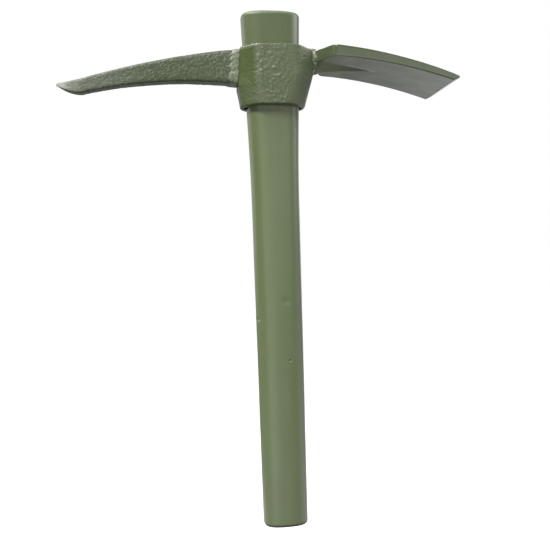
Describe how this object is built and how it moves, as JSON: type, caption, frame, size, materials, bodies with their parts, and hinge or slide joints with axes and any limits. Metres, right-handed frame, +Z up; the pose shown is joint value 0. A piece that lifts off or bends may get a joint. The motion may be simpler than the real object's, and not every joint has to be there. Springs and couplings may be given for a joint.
{
  "type": "pick mattock",
  "caption": "Short pick mattock with a pick arm and an adze blade welded to a tapered eye collar that slips over a flared wooden handle and slides off over the butt.",
  "frame": {"origin": "middle of the flat butt face of the handle", "axes": "+Z up along the handle from the butt to the head, +X towards the adze blade, -X towards the pick, Y across the handle's narrow side"},
  "size_m": [0.3453, 0.071, 0.45],
  "materials": {
    "painted_wood": "satin olive green paint on sanded hardwood",
    "rough_paint": "satin olive green paint on rough forged steel",
    "smooth_paint": "satin olive green paint on smooth rolled steel",
    "weld_paint": "olive green paint over a lumpy weld bead"
  },
  "bodies": {
    "helve": {"handle": "painted_wood"},
    "head": {"eye_collar": "rough_paint", "pick_arm": "rough_paint", "adze_blade": "smooth_paint", "pick_weld": "weld_paint", "adze_weld": "weld_paint"}
  },
  "joints": [
    {"name": "head_slide", "type": "slide", "parent": "helve", "child": "head", "axis": [0, 0, -1], "range_m": [0, 0.43]}
  ]
}
